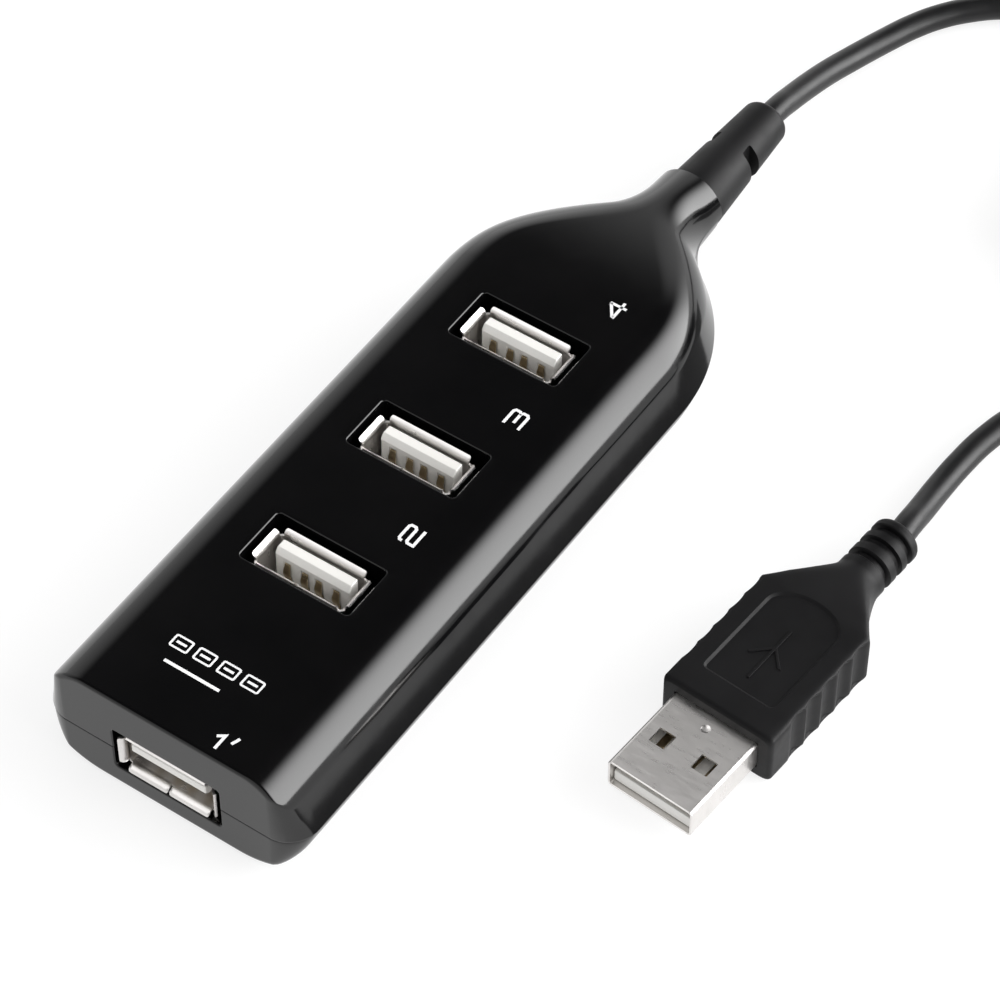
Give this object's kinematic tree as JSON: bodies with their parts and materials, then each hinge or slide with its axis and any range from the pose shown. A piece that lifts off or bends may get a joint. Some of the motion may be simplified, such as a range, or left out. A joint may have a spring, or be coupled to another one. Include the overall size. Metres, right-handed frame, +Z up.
{
  "type": "usb hub",
  "caption": "Slim bottle-shaped desk hub with sockets along its top and front, and a captive lead that ends in a flat plug.",
  "frame": {"origin": "middle of the housing and its strain relief, seen from above, on the surface that it stands on", "axes": "+Z up out of the top sockets, +Y along the hub from the front socket to the lead, +X to the right seen from the front socket"},
  "size_m": [0.0947, 0.1745, 0.0165],
  "materials": {
    "housing_plastic": "piano-black moulded plastic, polished",
    "overmold_vinyl": "black moulded vinyl, fine matt texture",
    "cord_jacket": "black vinyl jacket, satin",
    "tie": "black plastic-coated tie, matt",
    "nickel_sheet": "nickel-plated steel sheet, satin",
    "connector_white": "white moulded plastic",
    "contact_gold": "gold-plated contacts",
    "board_green": "green solder mask",
    "chip_black": "moulded chip package",
    "crystal_can": "drawn steel can",
    "capacitor_sleeve": "shrunk plastic sleeve",
    "wire_red": "insulated wire",
    "wire_white": "insulated wire",
    "wire_green": "insulated wire",
    "wire_black": "insulated wire"
  },
  "bodies": {
    "root": {"bottom_cover": "housing_plastic", "circuit_board": "board_green", "coil_tie": "tie", "cord_coil": "cord_jacket", "cord_lead_in": "cord_jacket", "cord_lead_out": "cord_jacket", "crystal": "crystal_can", "hub_controller": "chip_black", "input_capacitor": "capacitor_sleeve", "plug_contact_1": "contact_gold", "plug_contact_2": "contact_gold", "plug_contact_3": "contact_gold", "plug_contact_4": "contact_gold", "plug_insulator": "connector_white", "plug_overmold": "overmold_vinyl", "plug_shell": "nickel_sheet", "port_1_contact_1": "contact_gold", "port_1_contact_2": "contact_gold", "port_1_contact_3": "contact_gold", "port_1_contact_4": "contact_gold", "port_1_insulator": "connector_white", "port_1_shell": "nickel_sheet", "port_2_contact_1": "contact_gold", "port_2_contact_2": "contact_gold", "port_2_contact_3": "contact_gold", "port_2_contact_4": "contact_gold", "port_2_insulator": "connector_white", "port_2_shell": "nickel_sheet", "port_3_contact_1": "contact_gold", "port_3_contact_2": "contact_gold", "port_3_contact_3": "contact_gold", "port_3_contact_4": "contact_gold", "port_3_insulator": "connector_white", "port_3_shell": "nickel_sheet", "port_4_contact_1": "contact_gold", "port_4_contact_2": "contact_gold", "port_4_contact_3": "contact_gold", "port_4_contact_4": "contact_gold", "port_4_insulator": "connector_white", "port_4_shell": "nickel_sheet", "resistor_array": "chip_black", "strain_relief": "overmold_vinyl", "top_cover": "housing_plastic", "wire_black": "wire_black", "wire_green": "wire_green", "wire_red": "wire_red", "wire_white": "wire_white"}
  },
  "joints": []
}
